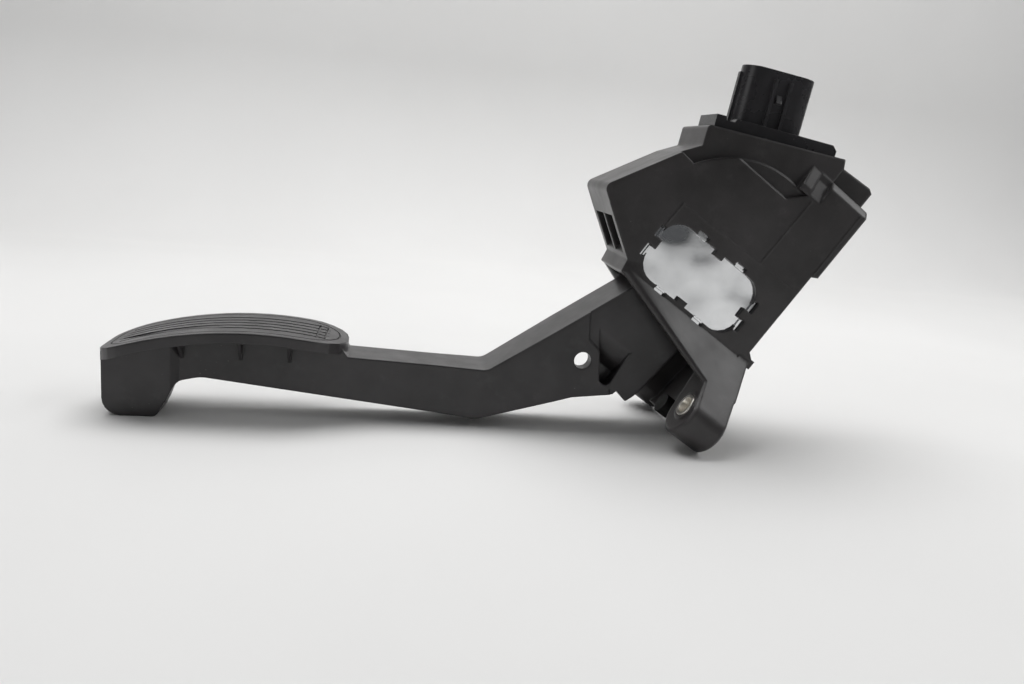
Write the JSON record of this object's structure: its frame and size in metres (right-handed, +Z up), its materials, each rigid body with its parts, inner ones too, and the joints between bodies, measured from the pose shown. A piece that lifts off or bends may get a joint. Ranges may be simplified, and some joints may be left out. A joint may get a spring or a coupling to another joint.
{
  "type": "accelerator pedal",
  "caption": "Hanging accelerator pedal with a moulded arm and ribbed pad, pivoted in a moulded housing with a side window, a far-side position sensor and two bolt lugs.",
  "frame": {"origin": "middle of the overall box in plan, at the ground under the pad's heel and the two lugs", "axes": "+X runs along the pedal from the pad to the housing, +Y across it away from the bright side window, +Z up"},
  "size_m": [0.3186, 0.085, 0.1605],
  "materials": {
    "housing": "matte, fine grain",
    "plate": "bright, faintly rippled",
    "sleeve": "turned",
    "bush": "sintered",
    "seat": "matte",
    "spring": "phosphated wire",
    "bumper": "matte",
    "sensor": "semi-gloss",
    "lid": "satin",
    "board": "solder mask",
    "chips": "moulded package",
    "terminal": "tinned brass",
    "seal": "soft",
    "screw": "zinc plated",
    "arm": "matte, fine grain",
    "shaft": "ground",
    "saddle": "natural low-friction plastic",
    "shoe": "low-friction lining",
    "cup": "turned",
    "magnet": "bonded magnet",
    "clip": "blackened spring steel"
  },
  "bodies": {
    "housing_body": {"housing": "housing", "side_plate": "plate", "bolt_sleeves": "sleeve", "near_bush": "bush", "far_bush": "bush", "front_seat": "seat", "outer_spring": "spring", "inner_spring": "spring", "idle_bumper": "bumper", "full_bumper": "bumper", "sensor_body": "sensor", "sensor_lid": "lid", "circuit_board": "board", "hall_chips": "chips", "terminals": "terminal", "sensor_seal": "seal", "sensor_screws": "screw"},
    "pedal_body": {"pedal_arm": "arm", "pivot_shaft": "shaft", "spring_saddle": "saddle", "friction_shoe": "shoe", "magnet_cup": "cup", "magnet": "magnet", "shaft_clip": "clip"}
  },
  "joints": [
    {"name": "pedal_pivot", "type": "hinge", "parent": "housing_body", "child": "pedal_body", "pos_m": [0.09223, 0, 0.07534], "axis": [0, -1, 0], "range_deg": [0, 16], "stiffness_Nm_per_rad": 8, "springref_deg": -22.92, "deforming": ["outer_spring", "inner_spring"]}
  ]
}
